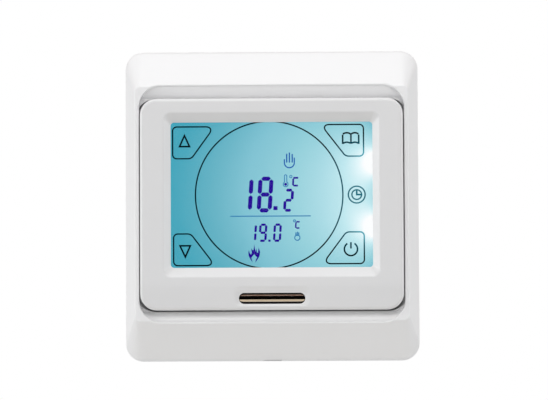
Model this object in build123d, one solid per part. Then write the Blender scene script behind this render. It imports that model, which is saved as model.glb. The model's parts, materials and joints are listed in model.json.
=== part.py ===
from build123d import *
import os

# A wall thermostat with a touch screen, in millimetres.
# It faces the room along -Y, with +X to the right and +Z up. The wall is the plane Y = 0, and the
# origin is the middle of the wall screws. A "front" is a distance from the wall: 10 is 10 mm out
# into the room, and a negative front is inside the wall box.

# Wall fixing
wall_screw_spacing = 60.0
wall_slot_radius = 2.1
wall_slot_length = 7.0
screw_head_room = 4.6
screw_head_height = 2.4

# Base plate
base_plate_thickness = 1.8
base_plate_margin = 2.5
base_plate_corner = 5.0

# Front module, seen from the room
module_width = 76.3
module_height = 61.4
module_corner = 4.8
module_edge_round = 1.0
module_proud = 2.0
face_side = 6.9
face_top = 4.15
face_bottom = 9.6
face_slope_height = 7.0
face_slope_drop = 0.8
face_slope_round = 12.0

# Window bevel
bevel_side = 1.95
bevel_top = 2.7
bevel_bottom = 2.7
bevel_depth = 1.9
bevel_round = 0.8
window_corner = 1.0

# Trim bar and its slot
slot_length = 19.2
slot_height = 3.2
slot_rise = 3.3
dish_side = 1.3
dish_top = 2.0
dish_bottom = 0.6
dish_depth = 0.45
bar_radius = 2.0
bar_sink = 0.55
bar_gap = 0.1
bar_flange = 0.9
bar_flange_thickness = 0.8

# Layers of the module, from the wall out
cover_gap = 0.4
cover_floor = 1.2
rear_room = 2.2
control_board_thickness = 1.2
reflector_thickness = 0.2
guide_thickness = 2.8
lcd_glass = 1.1
lcd_gap = 0.2
panel_thickness = 1.0
gasket_thickness = 0.3
bezel_face = 2.5

# Display stack, seen from the room
panel_border = 2.4
gasket_land = 1.6
lcd_border = 2.2
lcd_top_border = 1.4
lcd_ledge = 2.6
lcd_bottom_border = 3.6
lcd_side_gap = 0.1
ring_wall = 1.2
led_spacing = 16.6
led_room = 2.0
led_thickness = 1.6
led_length = 3.4
strip_width = 2.0
strip_end = 4.0

# Bezel and back cover
bezel_side = 1.8
cover_wall = 1.2
cover_fit = 0.2
tail_room = 0.9
flange_thickness = 2.0
skirt_gap = 0.3
cover_screw_inset = 6.0
cover_screw_radius = 1.1
cover_screw_head = 1.9
cover_screw_head_height = 1.2
cover_screw_reach = 3.4
boss_wall = 0.9
hook_width = 8.0
hook_reach = 0.9
hook_thickness = 1.0
hook_spacing = 40.0

# Surround frame
module_gap = 0.35
side_land = 1.25
side_slope = 3.25
end_slope = 11.45
cove_height = 3.35
cove_overrun = 0.2
crest_lift = 0.25
cove_edge_depth = 2.7
cove_rise = 1.6
cove_sag = 0.36
cove_bite = 0.2
pocket_corner = 6.1
pocket_depth = 5.5
pocket_floor_wall = 2.0
groove_width = 0.7
groove_depth = 1.3
frame_corner = 5.2
crest_corner = 1.6
crest_round = 0.4
rim_front = 4.2
rim_round = 2.4
lip_round = 0.4
frame_wall = 2.0
frame_rib = 1.2
frame_rib_pitch = 9.4
frame_rib_clearance = 0.4
post_length = 8.0
post_thickness = 1.6
notch_width = 5.4
notch_back = 0.8
notch_front = 4.4

# Retaining springs between base plate and module
spring_thickness = 0.4
spring_width = 6.0
spring_spacing = 20.0
spring_touch_gap = 0.05

# Plug connection between the two boards
pin_count = 8
pin_pitch = 2.54
pin_side = 0.64
pin_fit = 0.02
socket_fit = 0.12
connector_width = 2.5
connector_end = 0.6
connector_z = 14.0
header_height = 2.6
socket_proud = 1.5
pin_reach = 1.5
connector_gap = 0.3

# Terminals
terminal_count = 6
terminal_pitch = 6.35
block_end = 0.8
block_height = 12.0
block_depth = 15.0
block_floor = 1.9
cell_wall = 1.15
cage_gap = 0.1
cage_length = 5.0
cage_side = 0.7
cage_floor = 1.0
cage_top = 1.6
wire_room = 3.7
bar_thickness = 1.0
bar_side_gap = 0.2
bar_lift_room = 0.7
terminal_screw_radius = 1.5
terminal_head_radius = 1.9
terminal_head_height = 1.8
terminal_head_gap = 0.15
terminal_tip_gap = 0.05
terminal_travel = 2.25
travel_spare = 0.35
driver_slot_width = 0.7
driver_slot_depth = 0.8
thread_gap = 0.05
wire_entry_margin = 0.1

# Rear housing and power board
housing_side_room = 4.15
housing_height = 45.0
housing_depth = 25.0
housing_corner = 8.0
housing_wall = 1.6
housing_boss_radius = 2.2
boss_bite = 0.4
housing_boss_depth = 10.0
housing_screw_radius = 1.2
housing_screw_length = 8.0
housing_screw_head = 2.1
housing_screw_head_height = 1.0
lower_screw_drop = 23.5
board_drop = 3.4
power_board_thickness = 1.6
board_edge_gap = 0.3
board_post_radius = 1.5
board_post_inset = 8.5
block_clearance = 0.3
partition_wall = 1.2
vent_count = 5
vent_width = 1.5
vent_length = 14.0
vent_pitch = 3.6
ledge_width = 1.5
ledge_length = 4.0
ledge_depth = 4.0

# Small pieces on the control board
tail_gap = 1.9
tail_width = 8.0
tail_thickness = 0.15
tail_clearance = 0.8
tail_reach = 2.4
tail_connector_length = 4.0
tail_connector_height = 1.4
chip_place = (-8.0, -6.0)
chip_side = 10.0
chip_height = 1.4
chip_lift = 0.15
chip_legs = 11
chip_leg_pitch = 0.8
chip_leg_width = 0.35
chip_leg_reach = 1.0
crystal_place = (-8.0, 4.5)
crystal_radius = 1.0
crystal_length = 6.2
cell_place = (12.0, -6.0)
cell_radius = 6.25
cell_height = 1.6
cell_chamfer = 0.3
cell_clip_gap = 0.15
cell_clip_thickness = 0.3
cell_clip_width = 5.0
sensor_x = -22.0
sensor_rise = 2.0
sensor_radius = 1.0
sensor_stand = 1.1
sensor_lead_spacing = 1.2
sensor_lead_radius = 0.25
air_slot_length = 10.0
air_slot_height = 1.8
control_post_inset = 5.0

# Larger pieces on the power board
relay_place = (-17.3, 4.0)
relay_length = 29.0
relay_width = 12.7
relay_height = 15.7
relay_foot = 1.2
relay_step = 0.4
capacitor_place = (12.2, 1.5)
capacitor_width = 5.5
capacitor_length = 13.0
capacitor_height = 11.0
capacitor_round = 0.6
can_place = (-11.5, -2.0)
can_radius = 4.0
can_height = 11.5
can_groove = 0.9
transformer_place = (-4.5, -7.2)
transformer_size = 10.0
transformer_height = 10.5
transformer_foot = 1.2
transformer_core = 4.0
fuse_place = (12.0, -3.5)
fuse_radius = 3.0
fuse_height = 8.0

# Retaining spring form
spring_bow = 0.7
spring_bend = 2.6
spring_foot = 1.8

# Fronts of the layers, worked out from the wall
plate_front = base_plate_thickness
cover_back = plate_front + cover_gap
cover_inside = cover_back + cover_floor
board_back = cover_inside + rear_room
board_front = board_back + control_board_thickness
guide_back = board_front + reflector_thickness
lcd_back = guide_back + guide_thickness
lcd_middle = lcd_back + lcd_glass
lcd_front = lcd_middle + lcd_glass
panel_back = lcd_front + lcd_gap
panel_front = panel_back + panel_thickness
bezel_inside = panel_front + gasket_thickness
module_front = bezel_inside + bezel_face
crest_front = module_front - module_proud
pocket_floor_front = crest_front - pocket_depth
pocket_floor_back = pocket_floor_front - pocket_floor_wall
skirt_back = pocket_floor_front + skirt_gap
flange_front = skirt_back + flange_thickness

# Outlines seen from the room
window_right = module_width / 2 - face_side - bevel_side
window_left = -window_right
window_top = module_height / 2 - face_top - bevel_top
window_bottom = -module_height / 2 + face_bottom + bevel_bottom
lcd_left = window_left - lcd_border
lcd_right = window_right + lcd_border
lcd_top = window_top + lcd_top_border
lcd_bottom = window_bottom - lcd_bottom_border
ring_left = lcd_left - lcd_side_gap - ring_wall
ring_right = lcd_right + lcd_side_gap + ring_wall
ring_top = lcd_top + lcd_side_gap + ring_wall
ring_bottom = lcd_bottom - lcd_side_gap - ring_wall
tub_in_left = ring_left - tail_room
tub_in_right = ring_right + tail_room
tub_in_top = ring_top + cover_fit
tub_in_bottom = ring_bottom - cover_fit
tub_left = tub_in_left - cover_wall
tub_right = tub_in_right + cover_wall
tub_top = tub_in_top + cover_wall
tub_bottom = tub_in_bottom - cover_wall
tail_z = tub_in_top - control_post_inset - board_post_radius - tail_gap - tail_clearance - tail_width / 2
bezel_in_x = module_width / 2 - bezel_side
bezel_in_z = module_height / 2 - bezel_side
slot_z = -module_height / 2 + slot_rise
pocket_width = module_width + 2 * module_gap
crest_width = pocket_width + 2 * side_land
crest_height = module_height + 2 * cove_height
pocket_height = crest_height + 2 * cove_overrun
frame_width = crest_width + 2 * side_slope
frame_height = crest_height + 2 * end_slope
base_plate_width = frame_width - 2 * (frame_wall + base_plate_margin)
base_plate_height = wall_screw_spacing + wall_slot_length + 2 * base_plate_margin

# Rear pieces
block_width = terminal_count * terminal_pitch + 2 * block_end
housing_width = block_width + 2 * housing_side_room
housing_in_x = housing_width / 2 - housing_wall
housing_in_z = housing_height / 2 - housing_wall
power_front = -board_drop
power_back = power_front - power_board_thickness
block_back = power_back - block_depth
block_bottom = -housing_height / 2 + board_edge_gap
block_top = block_bottom + block_height
terminal_z = (block_bottom + block_top) / 2
cell_width = terminal_pitch - cell_wall
cage_width = cell_width - 2 * cage_gap
cell_front = power_back - block_floor
cage_front = cell_front - cage_gap
bar_front = cage_front - cage_floor - wire_room
bar_back = bar_front - bar_thickness
cage_top_front = bar_back - bar_lift_room
cage_back = cage_top_front - cage_top
head_front = cage_back - terminal_travel - travel_spare
housing_screw_x = housing_in_x - housing_boss_radius + boss_bite
housing_screw_z = (housing_in_z - housing_boss_radius - board_edge_gap,
                   housing_in_z - lower_screw_drop - housing_boss_radius - board_edge_gap)


def facing(front):
    """Plane that looks into the room at a given distance from the wall."""
    return Plane.XZ.offset(front)


def slab(outline, back, front):
    """Prism of an outline drawn as seen from the room."""
    return extrude(facing(back) * outline, amount=front - back)


def box_outline(left, right, bottom, top):
    """Rectangle between four edges."""
    return Pos((left + right) / 2, (bottom + top) / 2) * Rectangle(right - left, top - bottom)


def round_outline(left, right, bottom, top, corner):
    """Rectangle between four edges, with round corners."""
    return Pos((left + right) / 2, (bottom + top) / 2) * RectangleRounded(right - left, top - bottom, corner)


def block(left, right, bottom, top, back, front):
    """Plain block between six faces."""
    return slab(box_outline(left, right, bottom, top), back, front)


def rod(x, z, radius, back, front):
    """Round bar along the depth."""
    return slab(Pos(x, z) * Circle(radius), back, front)


def profile_along_x(points, left, right):
    """Prism along X of an outline given as (front, z) points."""
    outline = make_face(Polyline([(-front, z) for front, z in points], close=True))
    return extrude(Plane.YZ.offset(left) * outline, amount=right - left)


def strip_along_z(points, thickness, bottom, top):
    """Bent strip that follows (x, front) points, of one thickness, between two heights."""
    line = Polyline([(x, -front) for x, front in points])
    outline = make_face(offset(line, thickness / 2, kind=Kind.INTERSECTION, side=Side.BOTH))
    return extrude(Plane.XY.offset(bottom) * outline, amount=top - bottom)


def terminal_xs():
    """Middle of each terminal, from left to right."""
    first = -(terminal_count - 1) * terminal_pitch / 2
    return [first + number * terminal_pitch for number in range(terminal_count)]


def pin_xs():
    """Middle of each connector pin, from left to right."""
    first = -(pin_count - 1) * pin_pitch / 2
    return [first + number * pin_pitch for number in range(pin_count)]


def housing_screw_places():
    """The four screws that hold the rear housing."""
    return [(side * housing_screw_x, z) for side in (-1, 1) for z in housing_screw_z]


def cover_screw_places():
    """The two screws that hold the back cover, beside the trim bar."""
    z = (tub_bottom - bezel_in_z) / 2
    return [(side * (bezel_in_x - cover_screw_inset), z) for side in (-1, 1)]


# Surround frame

def frame_form(inset):
    """Outer form of the frame: a straight rim, then four slopes that rise to the crest."""
    rim = RectangleRounded(frame_width - 2 * inset, frame_height - 2 * inset, frame_corner - inset)
    crest = RectangleRounded(crest_width - 2 * inset, crest_height - 2 * inset, crest_corner)
    roof = loft([facing(rim_front) * rim, facing(crest_front - inset) * Pos(0, crest_lift) * crest], ruled=True)
    return slab(rim, 0, rim_front) + roof


def softened_frame():
    """Frame form with its rim and crest edges rounded."""
    form = frame_form(0)
    crest_edges = form.edges().group_by(Axis.Y)[0]
    form = fillet(crest_edges, crest_round)
    rim_edges = [edge for edge in form.edges() if abs(edge.center().Y + rim_front) < 0.01
                 and edge.bounding_box().size.Y < 0.01]
    return fillet(rim_edges, rim_round)


def pocket_outline(grow):
    """Outline of the recess between the crests, made larger all round."""
    outline = RectangleRounded(pocket_width + 2 * grow, pocket_height + 2 * grow, pocket_corner + grow)
    return Pos(0, crest_lift) * outline


def cove_ramps():
    """Concave ramps that rise from beside the module to the crest, above and below it."""
    inner = module_height / 2 + module_gap
    bottom = pocket_floor_front - cove_bite
    edge = crest_front - cove_edge_depth
    ramps = Part()
    for side in (-1, 1):
        start = side * (inner - pocket_corner)
        wall = crest_lift + side * pocket_height / 2
        end = wall + side * cove_bite
        with BuildSketch(Plane.YZ.offset(-frame_width / 2)) as profile:
            with BuildLine():
                Polyline((-edge, side * inner), (-edge, start), (-bottom, start), (-bottom, end),
                         (-edge - cove_rise, end), (-edge - cove_rise, wall))
                SagittaArc((-edge, side * inner), (-edge - cove_rise, wall), side * cove_sag)
            make_face()
        ramps += extrude(profile.sketch, amount=frame_width)
    ramps &= slab(pocket_outline(cove_bite), bottom, crest_front)
    room = RectangleRounded(pocket_width + 4 * groove_width, 2 * inner, module_corner + 2 * groove_width)
    return ramps - slab(room, 0, module_front)


def gap_groove():
    """Groove in the pocket's floor under the module's edge, which keeps the gap round the module dark."""
    height = module_height + 2 * module_gap
    corner = module_corner + module_gap
    ring = RectangleRounded(pocket_width, height, corner)
    ring -= RectangleRounded(pocket_width - 2 * groove_width, height - 2 * groove_width, corner - groove_width)
    return slab(ring, pocket_floor_front - groove_depth, pocket_floor_front + cove_bite)


def frame_ribs():
    """Stiffening ribs across the hollow borders above and below the pocket."""
    inner = base_plate_height / 2 + frame_rib_clearance
    outer = frame_height / 2 - frame_wall / 2
    count = int((frame_width / 2 - 2 * frame_wall) / frame_rib_pitch)
    ribs = Part()
    for number in range(-count, count + 1):
        x = number * frame_rib_pitch
        for bottom, top in ((inner, outer), (-outer, -inner)):
            ribs += block(x - frame_rib / 2, x + frame_rib / 2, bottom, top, frame_rib_clearance, crest_front)
    return ribs


def frame_posts():
    """Feet under the pocket floor that stand on the base plate."""
    x = base_plate_width / 2 - post_thickness
    z = tub_top - post_length / 2
    posts = Part()
    for side in (-1, 1):
        for middle in (-z, z):
            posts += block(side * x - post_thickness / 2, side * x + post_thickness / 2,
                           middle - post_length / 2, middle + post_length / 2, plate_front, pocket_floor_front)
    return posts


def make_outer_frame():
    form = softened_frame()
    tub_top_wall = pocket_height / 2 + frame_wall
    pocket_back = block(-frame_width, frame_width, -tub_top_wall, tub_top_wall, pocket_floor_back, module_front)
    hollow = frame_form(frame_wall) - pocket_back
    hollow -= frame_ribs()
    opening = round_outline(tub_left - module_gap, tub_right + module_gap,
                            tub_bottom - module_gap, tub_top + module_gap, cover_wall)
    frame = form - hollow - slab(opening, 0, module_front)
    frame -= slab(pocket_outline(0), pocket_floor_front, module_front)
    frame = fillet(pocket_lip(frame), lip_round)
    frame += cove_ramps()
    frame -= gap_groove()
    frame += frame_posts()
    rim_bottom = -frame_height / 2
    notch = block(-notch_width / 2, notch_width / 2, rim_bottom - 1, rim_bottom + 2 * frame_wall,
                  notch_back, notch_front)
    return frame - notch


def pocket_lip(frame):
    """Edges where the pocket's walls meet the crest and the slopes."""
    outline = (facing(0) * pocket_outline(0)).wire()
    lowest = pocket_floor_front + 0.05
    lip = []
    for edge in frame.edges():
        points = [edge.position_at(place) for place in (0, 0.5, 1)]
        on_outline = all(outline.distance_to(Vertex(point.X, 0, point.Z)) < 0.01 for point in points)
        size = edge.bounding_box().size
        if on_outline and -points[1].Y > lowest and size.X + size.Z > 0.05:
            lip.append(edge)
    return lip


# Front module

def face_plane():
    """Plane of the lower face where the trim bar lies, which leans back from the room."""
    edge_z = -module_height / 2
    lean = face_slope_drop / face_slope_height
    front = module_front - face_slope_drop + lean * (slot_z - edge_z)
    return Plane(origin=(0, -front, slot_z), x_dir=(1, 0, 0), z_dir=(0, -1, -lean))


def bezel_blank():
    """Rounded block with the lower face leaning back and a soft front edge."""
    blank = slab(RectangleRounded(module_width, module_height, module_corner), skirt_back, module_front)
    edge_z = -module_height / 2
    start_z = edge_z + face_slope_height
    slope = face_slope_drop / face_slope_height
    wedge = profile_along_x([(module_front, start_z), (module_front - face_slope_drop - slope, edge_z - 1),
                             (module_front + 1, edge_z - 1), (module_front + 1, start_z)],
                            -module_width, module_width)
    blank -= wedge
    crease = [edge for edge in blank.edges() if abs(edge.center().Z - start_z) < 0.01
              and abs(edge.center().Y + module_front) < 0.01]
    blank = fillet(crease, face_slope_round)
    low = module_front - face_slope_drop - 0.01
    rim = [edge for edge in blank.edges() if -edge.bounding_box().max.Y > low and not crosses_face(edge)]
    return fillet(rim, module_edge_round)


def crosses_face(edge):
    """True for an edge that runs across the face from side to side, away from its outline."""
    return abs(edge.center().X) < 0.01 and abs(edge.center().Z) < module_height / 2 - 1


def window_bevel():
    """Sloping surround that leads from the face down to the window."""
    outer = round_outline(window_left - bevel_side, window_right + bevel_side, window_bottom - bevel_bottom,
                          window_top + bevel_top, window_corner + bevel_side / 2)
    inner = round_outline(window_left, window_right, window_bottom, window_top, window_corner)
    return loft([facing(module_front) * outer, facing(module_front - bevel_depth) * inner], ruled=True)


def trim_slot():
    """Slot for the trim bar and the shallow dish around it."""
    plane = face_plane()
    dish_outline = round_outline(-slot_length / 2 - dish_side, slot_length / 2 + dish_side,
                                 -slot_height / 2 - dish_bottom, slot_height / 2 + dish_top, slot_height / 2)
    floor_outline = SlotOverall(slot_length, slot_height)
    dish = loft([plane * dish_outline, plane.offset(-dish_depth) * floor_outline], ruled=True)
    return dish, extrude(plane.offset(1) * SlotOverall(slot_length, slot_height), amount=-2 * bezel_face)


def bezel_bosses():
    """Screw bosses for the back cover."""
    radius = cover_screw_radius + boss_wall
    bosses = Part()
    for x, z in cover_screw_places():
        bosses += rod(x, z, radius, flange_front, bezel_inside)
    return bosses


def make_front_bezel():
    bezel = bezel_blank()
    bezel -= window_bevel()
    edges = [edge for edge in bezel.edges() if on_bevel_edge(edge)]
    bezel = fillet(edges, bevel_round)
    window = round_outline(window_left, window_right, window_bottom, window_top, window_corner)
    inside = RectangleRounded(2 * bezel_in_x, 2 * bezel_in_z, module_corner - bezel_side)
    bezel -= slab(window, 0, module_front)
    bezel -= slab(inside, 0, bezel_inside)
    dish, slot = trim_slot()
    bezel -= dish
    bezel -= slot
    bezel += bezel_bosses()
    for x, z in cover_screw_places():
        bezel -= rod(x, z, cover_screw_radius + thread_gap, 0, flange_front + cover_screw_reach)
    for side in (-1, 1):
        x = side * hook_spacing / 2
        bezel -= block(x - hook_width / 2 - cover_fit, x + hook_width / 2 + cover_fit, bezel_in_z - 1,
                       bezel_in_z - cover_fit + hook_reach + cover_fit, skirt_back - 1,
                       skirt_back + hook_thickness + cover_fit)
    return bezel


def on_bevel_edge(edge):
    """True for the edges where the window's surround leaves the face."""
    middle = edge.position_at(0.5)
    level = abs(edge.center().Y + module_front) < 0.01 and edge.bounding_box().size.Y < 0.01
    inside_x = abs(middle.X) < window_right + bevel_side + 0.01
    inside_z = window_bottom - bevel_bottom - 0.01 < middle.Z < window_top + bevel_top + 0.01
    return level and inside_x and inside_z


def make_trim_bar():
    """Half-round bar with a flange that seats behind the slot."""
    plane = face_plane()
    length = slot_length - 2 * bar_gap
    height = slot_height - 2 * bar_gap
    centre = plane * Pos(0, 0, -bar_sink - bar_radius)
    cylinder = centre * Rot(0, 90, 0) * Cylinder(bar_radius, length)
    window = extrude(plane.offset(1) * SlotOverall(length, height), amount=-bezel_face - 2)
    front_half = block(-length, length, slot_z - slot_height, slot_z + slot_height,
                       bezel_inside, module_front)
    core = extrude(plane.offset(-bar_sink - bar_radius) * SlotOverall(length, height), amount=-bezel_face)
    bar = ((cylinder + core) & window) & front_half
    top = slot_z + slot_height / 2 + bar_flange
    bottom = -bezel_in_z + bar_gap
    flange = block(-length / 2 - bar_flange, length / 2 + bar_flange, bottom, top,
                   bezel_inside - bar_flange_thickness, bezel_inside)
    return bar + flange


def ring_sketch(left, right, bottom, top, wall, corner):
    """Picture-frame outline: the outer edges are given, and the wall is the same all round."""
    outer = round_outline(left, right, bottom, top, corner)
    return outer - box_outline(left + wall, right - wall, bottom + wall, top - wall)


def make_touch_gasket():
    """Adhesive seal between the bezel and the touch panel."""
    outline = ring_sketch(window_left - panel_border, window_right + panel_border,
                          window_bottom - panel_border, window_top + panel_border, gasket_land, window_corner)
    return slab(outline, panel_front, bezel_inside)


def make_touch_panel():
    outline = round_outline(window_left - panel_border, window_right + panel_border,
                            window_bottom - panel_border, window_top + panel_border, window_corner)
    return slab(outline, panel_back, panel_front)


def make_lcd_panel():
    """Two glasses: the front one is taller below, where its contacts face back."""
    front_glass = block(lcd_left, lcd_right, lcd_bottom, lcd_top, lcd_middle, lcd_front)
    rear_glass = block(lcd_left, lcd_right, lcd_bottom + lcd_ledge, lcd_top, lcd_back, lcd_middle)
    return front_glass + rear_glass


def guide_outline():
    """Outline of the light guide, with room for the lamps at its right edge."""
    return box_outline(lcd_left, lcd_right - led_room, lcd_bottom + lcd_ledge, lcd_top)


def make_light_guide():
    return slab(guide_outline(), guide_back, lcd_back)


def make_reflector_sheet():
    return slab(guide_outline(), board_front, guide_back)


def make_backlight_leds():
    """Two side-firing lamps that stand on the board at the right edge of the guide."""
    left = lcd_right - led_room + lcd_side_gap
    middle = (window_top + window_bottom) / 2
    leds = []
    for side in (-1, 1):
        z = middle + side * led_spacing / 2
        leds.append(block(left, left + led_thickness, z - led_length / 2, z + led_length / 2,
                          board_front, lcd_back - lcd_gap))
    return Compound(children=leds)


def make_display_frame():
    """Frame round the display that carries the touch panel and stands on the board."""
    outline = ring_sketch(ring_left, ring_right, ring_bottom, ring_top, ring_wall, ring_wall)
    return slab(outline, board_front, panel_back)


def make_contact_strip():
    """Rubber contact strip from the board to the ledge of the front glass."""
    bottom = lcd_bottom + (lcd_ledge - strip_width) / 2
    return block(lcd_left + strip_end, lcd_right - strip_end, bottom, bottom + strip_width,
                 board_front, lcd_middle)


def make_control_board():
    board = block(tub_in_left + cover_fit, tub_in_right - cover_fit, tub_in_bottom + cover_fit,
                  tub_in_top - cover_fit, board_back, board_front)
    reach = tail_width / 2 + tail_clearance
    notch = block(tub_in_left, ring_left, tail_z - reach, tail_z + reach, board_back - 1, board_front + 1)
    return board - notch


def make_touch_tail():
    """Thin ribbon from the edge of the touch panel, round the board's edge, to its connector."""
    lane = (tub_in_left + ring_left) / 2
    level = panel_back + tail_thickness
    run = board_back - tail_connector_height / 2
    cap = tail_thickness / 2
    path = [(window_left - panel_border - cap, level), (lane, level), (lane, run),
            (tail_connector_left() - cap, run)]
    return strip_along_z(path, tail_thickness, tail_z - tail_width / 2, tail_z + tail_width / 2)


def tail_connector_left():
    """Left end of the tail's connector."""
    return ring_left + tail_reach


def make_tail_connector():
    left = tail_connector_left()
    half = tail_width / 2 + tail_clearance
    return block(left, left + tail_connector_length, tail_z - half, tail_z + half,
                 board_back - tail_connector_height, board_back)


def make_microcontroller():
    """Square chip with legs along its four sides."""
    x, z = chip_place
    half = chip_side / 2
    top = board_back - chip_height
    chip = block(x - half, x + half, z - half, z + half, top, board_back - chip_lift)
    first = -(chip_legs - 1) * chip_leg_pitch / 2
    reach = half + chip_leg_reach
    thin = chip_leg_width / 2
    foot = board_back - 2 * chip_lift
    for number in range(chip_legs):
        along = first + number * chip_leg_pitch
        chip += block(x - reach, x + reach, z + along - thin, z + along + thin, foot, board_back)
        chip += block(x + along - thin, x + along + thin, z - reach, z + reach, foot, board_back)
    return chip


def make_clock_crystal():
    """Small metal can that lies on the board."""
    x, z = crystal_place
    axis = board_back - crystal_radius
    return Pos(x, -axis, z) * Rot(0, 90, 0) * Cylinder(crystal_radius, crystal_length)


def make_backup_cell():
    x, z = cell_place
    disc = rod(x, z, cell_radius, board_back - cell_height, board_back)
    return chamfer(disc.edges().filter_by(GeomType.CIRCLE).sort_by(Axis.Y)[-1], cell_chamfer)


def make_cell_clip():
    """Strap over the cell with a foot on each side of it."""
    x, z = cell_place
    reach = cell_radius + cell_clip_gap
    strap_back = board_back - cell_height - cell_clip_thickness
    half = cell_clip_width / 2
    clip = block(x - reach - cell_clip_thickness, x + reach + cell_clip_thickness, z - half, z + half,
                 strap_back, strap_back + cell_clip_thickness)
    for side in (-1, 1):
        low = min(side * reach, side * (reach + cell_clip_thickness))
        clip += block(x + low, x + low + cell_clip_thickness, z - half, z + half, strap_back, board_back)
    return clip


def make_room_sensor():
    """Bead on two short leads, beside the air slot in the back cover."""
    x = sensor_x
    z = tub_in_bottom + cover_fit + sensor_rise
    front = board_back - sensor_stand
    bead = Pos(x, -front, z) * Sphere(sensor_radius)
    for side in (-1, 1):
        bead += rod(x + side * sensor_lead_spacing / 2, z, sensor_lead_radius, front, board_back)
    return bead


def connector_half():
    """Half length of the plug connector's body."""
    return pin_count * pin_pitch / 2 + connector_end


def make_board_header():
    """Body of the pin header under the control board."""
    half = connector_half()
    body = block(-half, half, connector_z - connector_width / 2, connector_z + connector_width / 2,
                 board_back - header_height, board_back)
    for x in pin_xs():
        side = pin_side / 2 + pin_fit
        body -= block(x - side, x + side, connector_z - side, connector_z + side, 0, module_front)
    return body


def make_header_pins():
    """Pins that reach from the control board into the socket behind the base plate."""
    side = pin_side / 2
    pins = [block(x - side, x + side, connector_z - side, connector_z + side, -pin_reach, board_back)
            for x in pin_xs()]
    return Compound(children=pins)


def make_board_socket():
    """Socket on the power board that stands up through the base plate."""
    half = connector_half()
    body = block(-half, half, connector_z - connector_width / 2, connector_z + connector_width / 2,
                 power_front, socket_proud)
    for x in pin_xs():
        side = pin_side / 2 + socket_fit
        body -= block(x - side, x + side, connector_z - side, connector_z + side, -pin_reach - connector_gap,
                      module_front)
    return body


def head_pockets(grow):
    """Spaces in the back cover that clear the heads of the wall screws."""
    reach = screw_head_room + grow
    along = screw_head_room + (wall_slot_length / 2 - wall_slot_radius) + grow
    top = plate_front + screw_head_height + grow
    middle = wall_screw_spacing / 2
    pockets = block(middle - along, 2 * middle, -reach, reach, 0, top)
    pockets += block(-2 * middle, -middle + along, -reach, reach, 0, top)
    pockets += block(-reach, reach, middle - along, 2 * middle, 0, top)
    return pockets


def cover_shell():
    """Tub behind the display with a flange that closes the bezel."""
    tub = slab(round_outline(tub_left, tub_right, tub_bottom, tub_top, cover_wall), cover_back, flange_front)
    flange = slab(RectangleRounded(2 * (bezel_in_x - cover_fit), 2 * (bezel_in_z - cover_fit),
                                   module_corner - bezel_side), skirt_back, flange_front)
    hollow = block(tub_in_left, tub_in_right, tub_in_bottom, tub_in_top, cover_inside, module_front)
    hollow -= head_pockets(cover_floor)
    return (tub + flange) - head_pockets(0) - hollow


def make_back_cover():
    cover = cover_shell()
    for x, z in board_post_places():
        cover += rod(x, z, board_post_radius, cover_back, board_back)
    half = connector_half() + connector_gap
    reach = connector_width / 2 + connector_gap
    cover -= block(-half, half, connector_z - reach, connector_z + reach, 0, cover_inside)
    slot = air_slot_length / 2
    cover -= block(sensor_x - slot, sensor_x + slot, tub_bottom - 1, tub_in_bottom + 1,
                   cover_inside, cover_inside + air_slot_height)
    for x, z in cover_screw_places():
        cover -= rod(x, z, cover_screw_radius + cover_fit, 0, module_front)
        cover -= rod(x, z, cover_screw_head + cover_fit, 0, skirt_back + cover_screw_head_height)
    for side in (-1, 1):
        x = side * hook_spacing / 2
        cover += block(x - hook_width / 2, x + hook_width / 2, bezel_in_z - 2 * cover_fit,
                       bezel_in_z - cover_fit + hook_reach, skirt_back, skirt_back + hook_thickness)
    return cover


def board_post_places():
    """Posts inside the back cover that press the control board against the display frame."""
    x = tub_in_right - control_post_inset
    return [(side * x, z) for side in (-1, 1) for z in (tub_in_top - control_post_inset,
                                                        tub_in_bottom + control_post_inset)]


def pan_screw(x, z, shank_radius, length, head_radius, head_height, seat, towards_room):
    """Pan-head screw with a cross recess, its head's flat side at the seat."""
    way = 1 if towards_room else -1
    tip = seat + way * length
    top = seat - way * head_height
    screw = rod(x, z, shank_radius, min(seat, tip), max(seat, tip))
    screw += rod(x, z, head_radius, min(seat, top), max(seat, top))
    arm = 0.6 * head_radius
    thin = 0.15 * head_radius
    floor = top + way * 0.55 * head_height
    for wide, tall in ((arm, thin), (thin, arm)):
        screw -= block(x - wide, x + wide, z - tall, z + tall, min(top, floor), max(top, floor))
    return screw


def make_back_cover_screws():
    seat = skirt_back + cover_screw_head_height
    length = flange_front + cover_screw_reach - seat - cover_fit
    screws = [pan_screw(x, z, cover_screw_radius, length, cover_screw_head, cover_screw_head_height,
                        seat, True) for x, z in cover_screw_places()]
    return Compound(children=screws)


# Base

def slot_outline(x, z, angle):
    """Radial slot for a wall screw."""
    return Pos(x, z) * Rot(0, 0, angle) * SlotOverall(wall_slot_length, 2 * wall_slot_radius)


def make_base_plate():
    plate = slab(RectangleRounded(base_plate_width, base_plate_height, base_plate_corner), 0, plate_front)
    middle = wall_screw_spacing / 2
    for x, z, angle in ((middle, 0, 0), (-middle, 0, 0), (0, middle, 90), (0, -middle, 90)):
        plate -= slab(slot_outline(x, z, angle), -1, plate_front + 1)
    half = connector_half() + connector_gap
    reach = connector_width / 2 + connector_gap
    plate -= block(-half, half, connector_z - reach, connector_z + reach, -1, plate_front + 1)
    seat = plate_front - housing_screw_head_height
    for x, z in housing_screw_places():
        plate -= rod(x, z, housing_screw_radius + thread_gap, -1, plate_front + 1)
        plate -= rod(x, z, housing_screw_head + cover_fit, seat, plate_front + 1)
    for x, z in power_post_places():
        plate += rod(x, z, board_post_radius, power_front, 0)
    return plate


def power_post_places():
    """Posts behind the base plate that press on the power board."""
    x = housing_in_x - board_post_inset
    return [(side * x, z) for side in (-1, 1) for z in (housing_in_z - board_post_radius - 1, block_top)]


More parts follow.
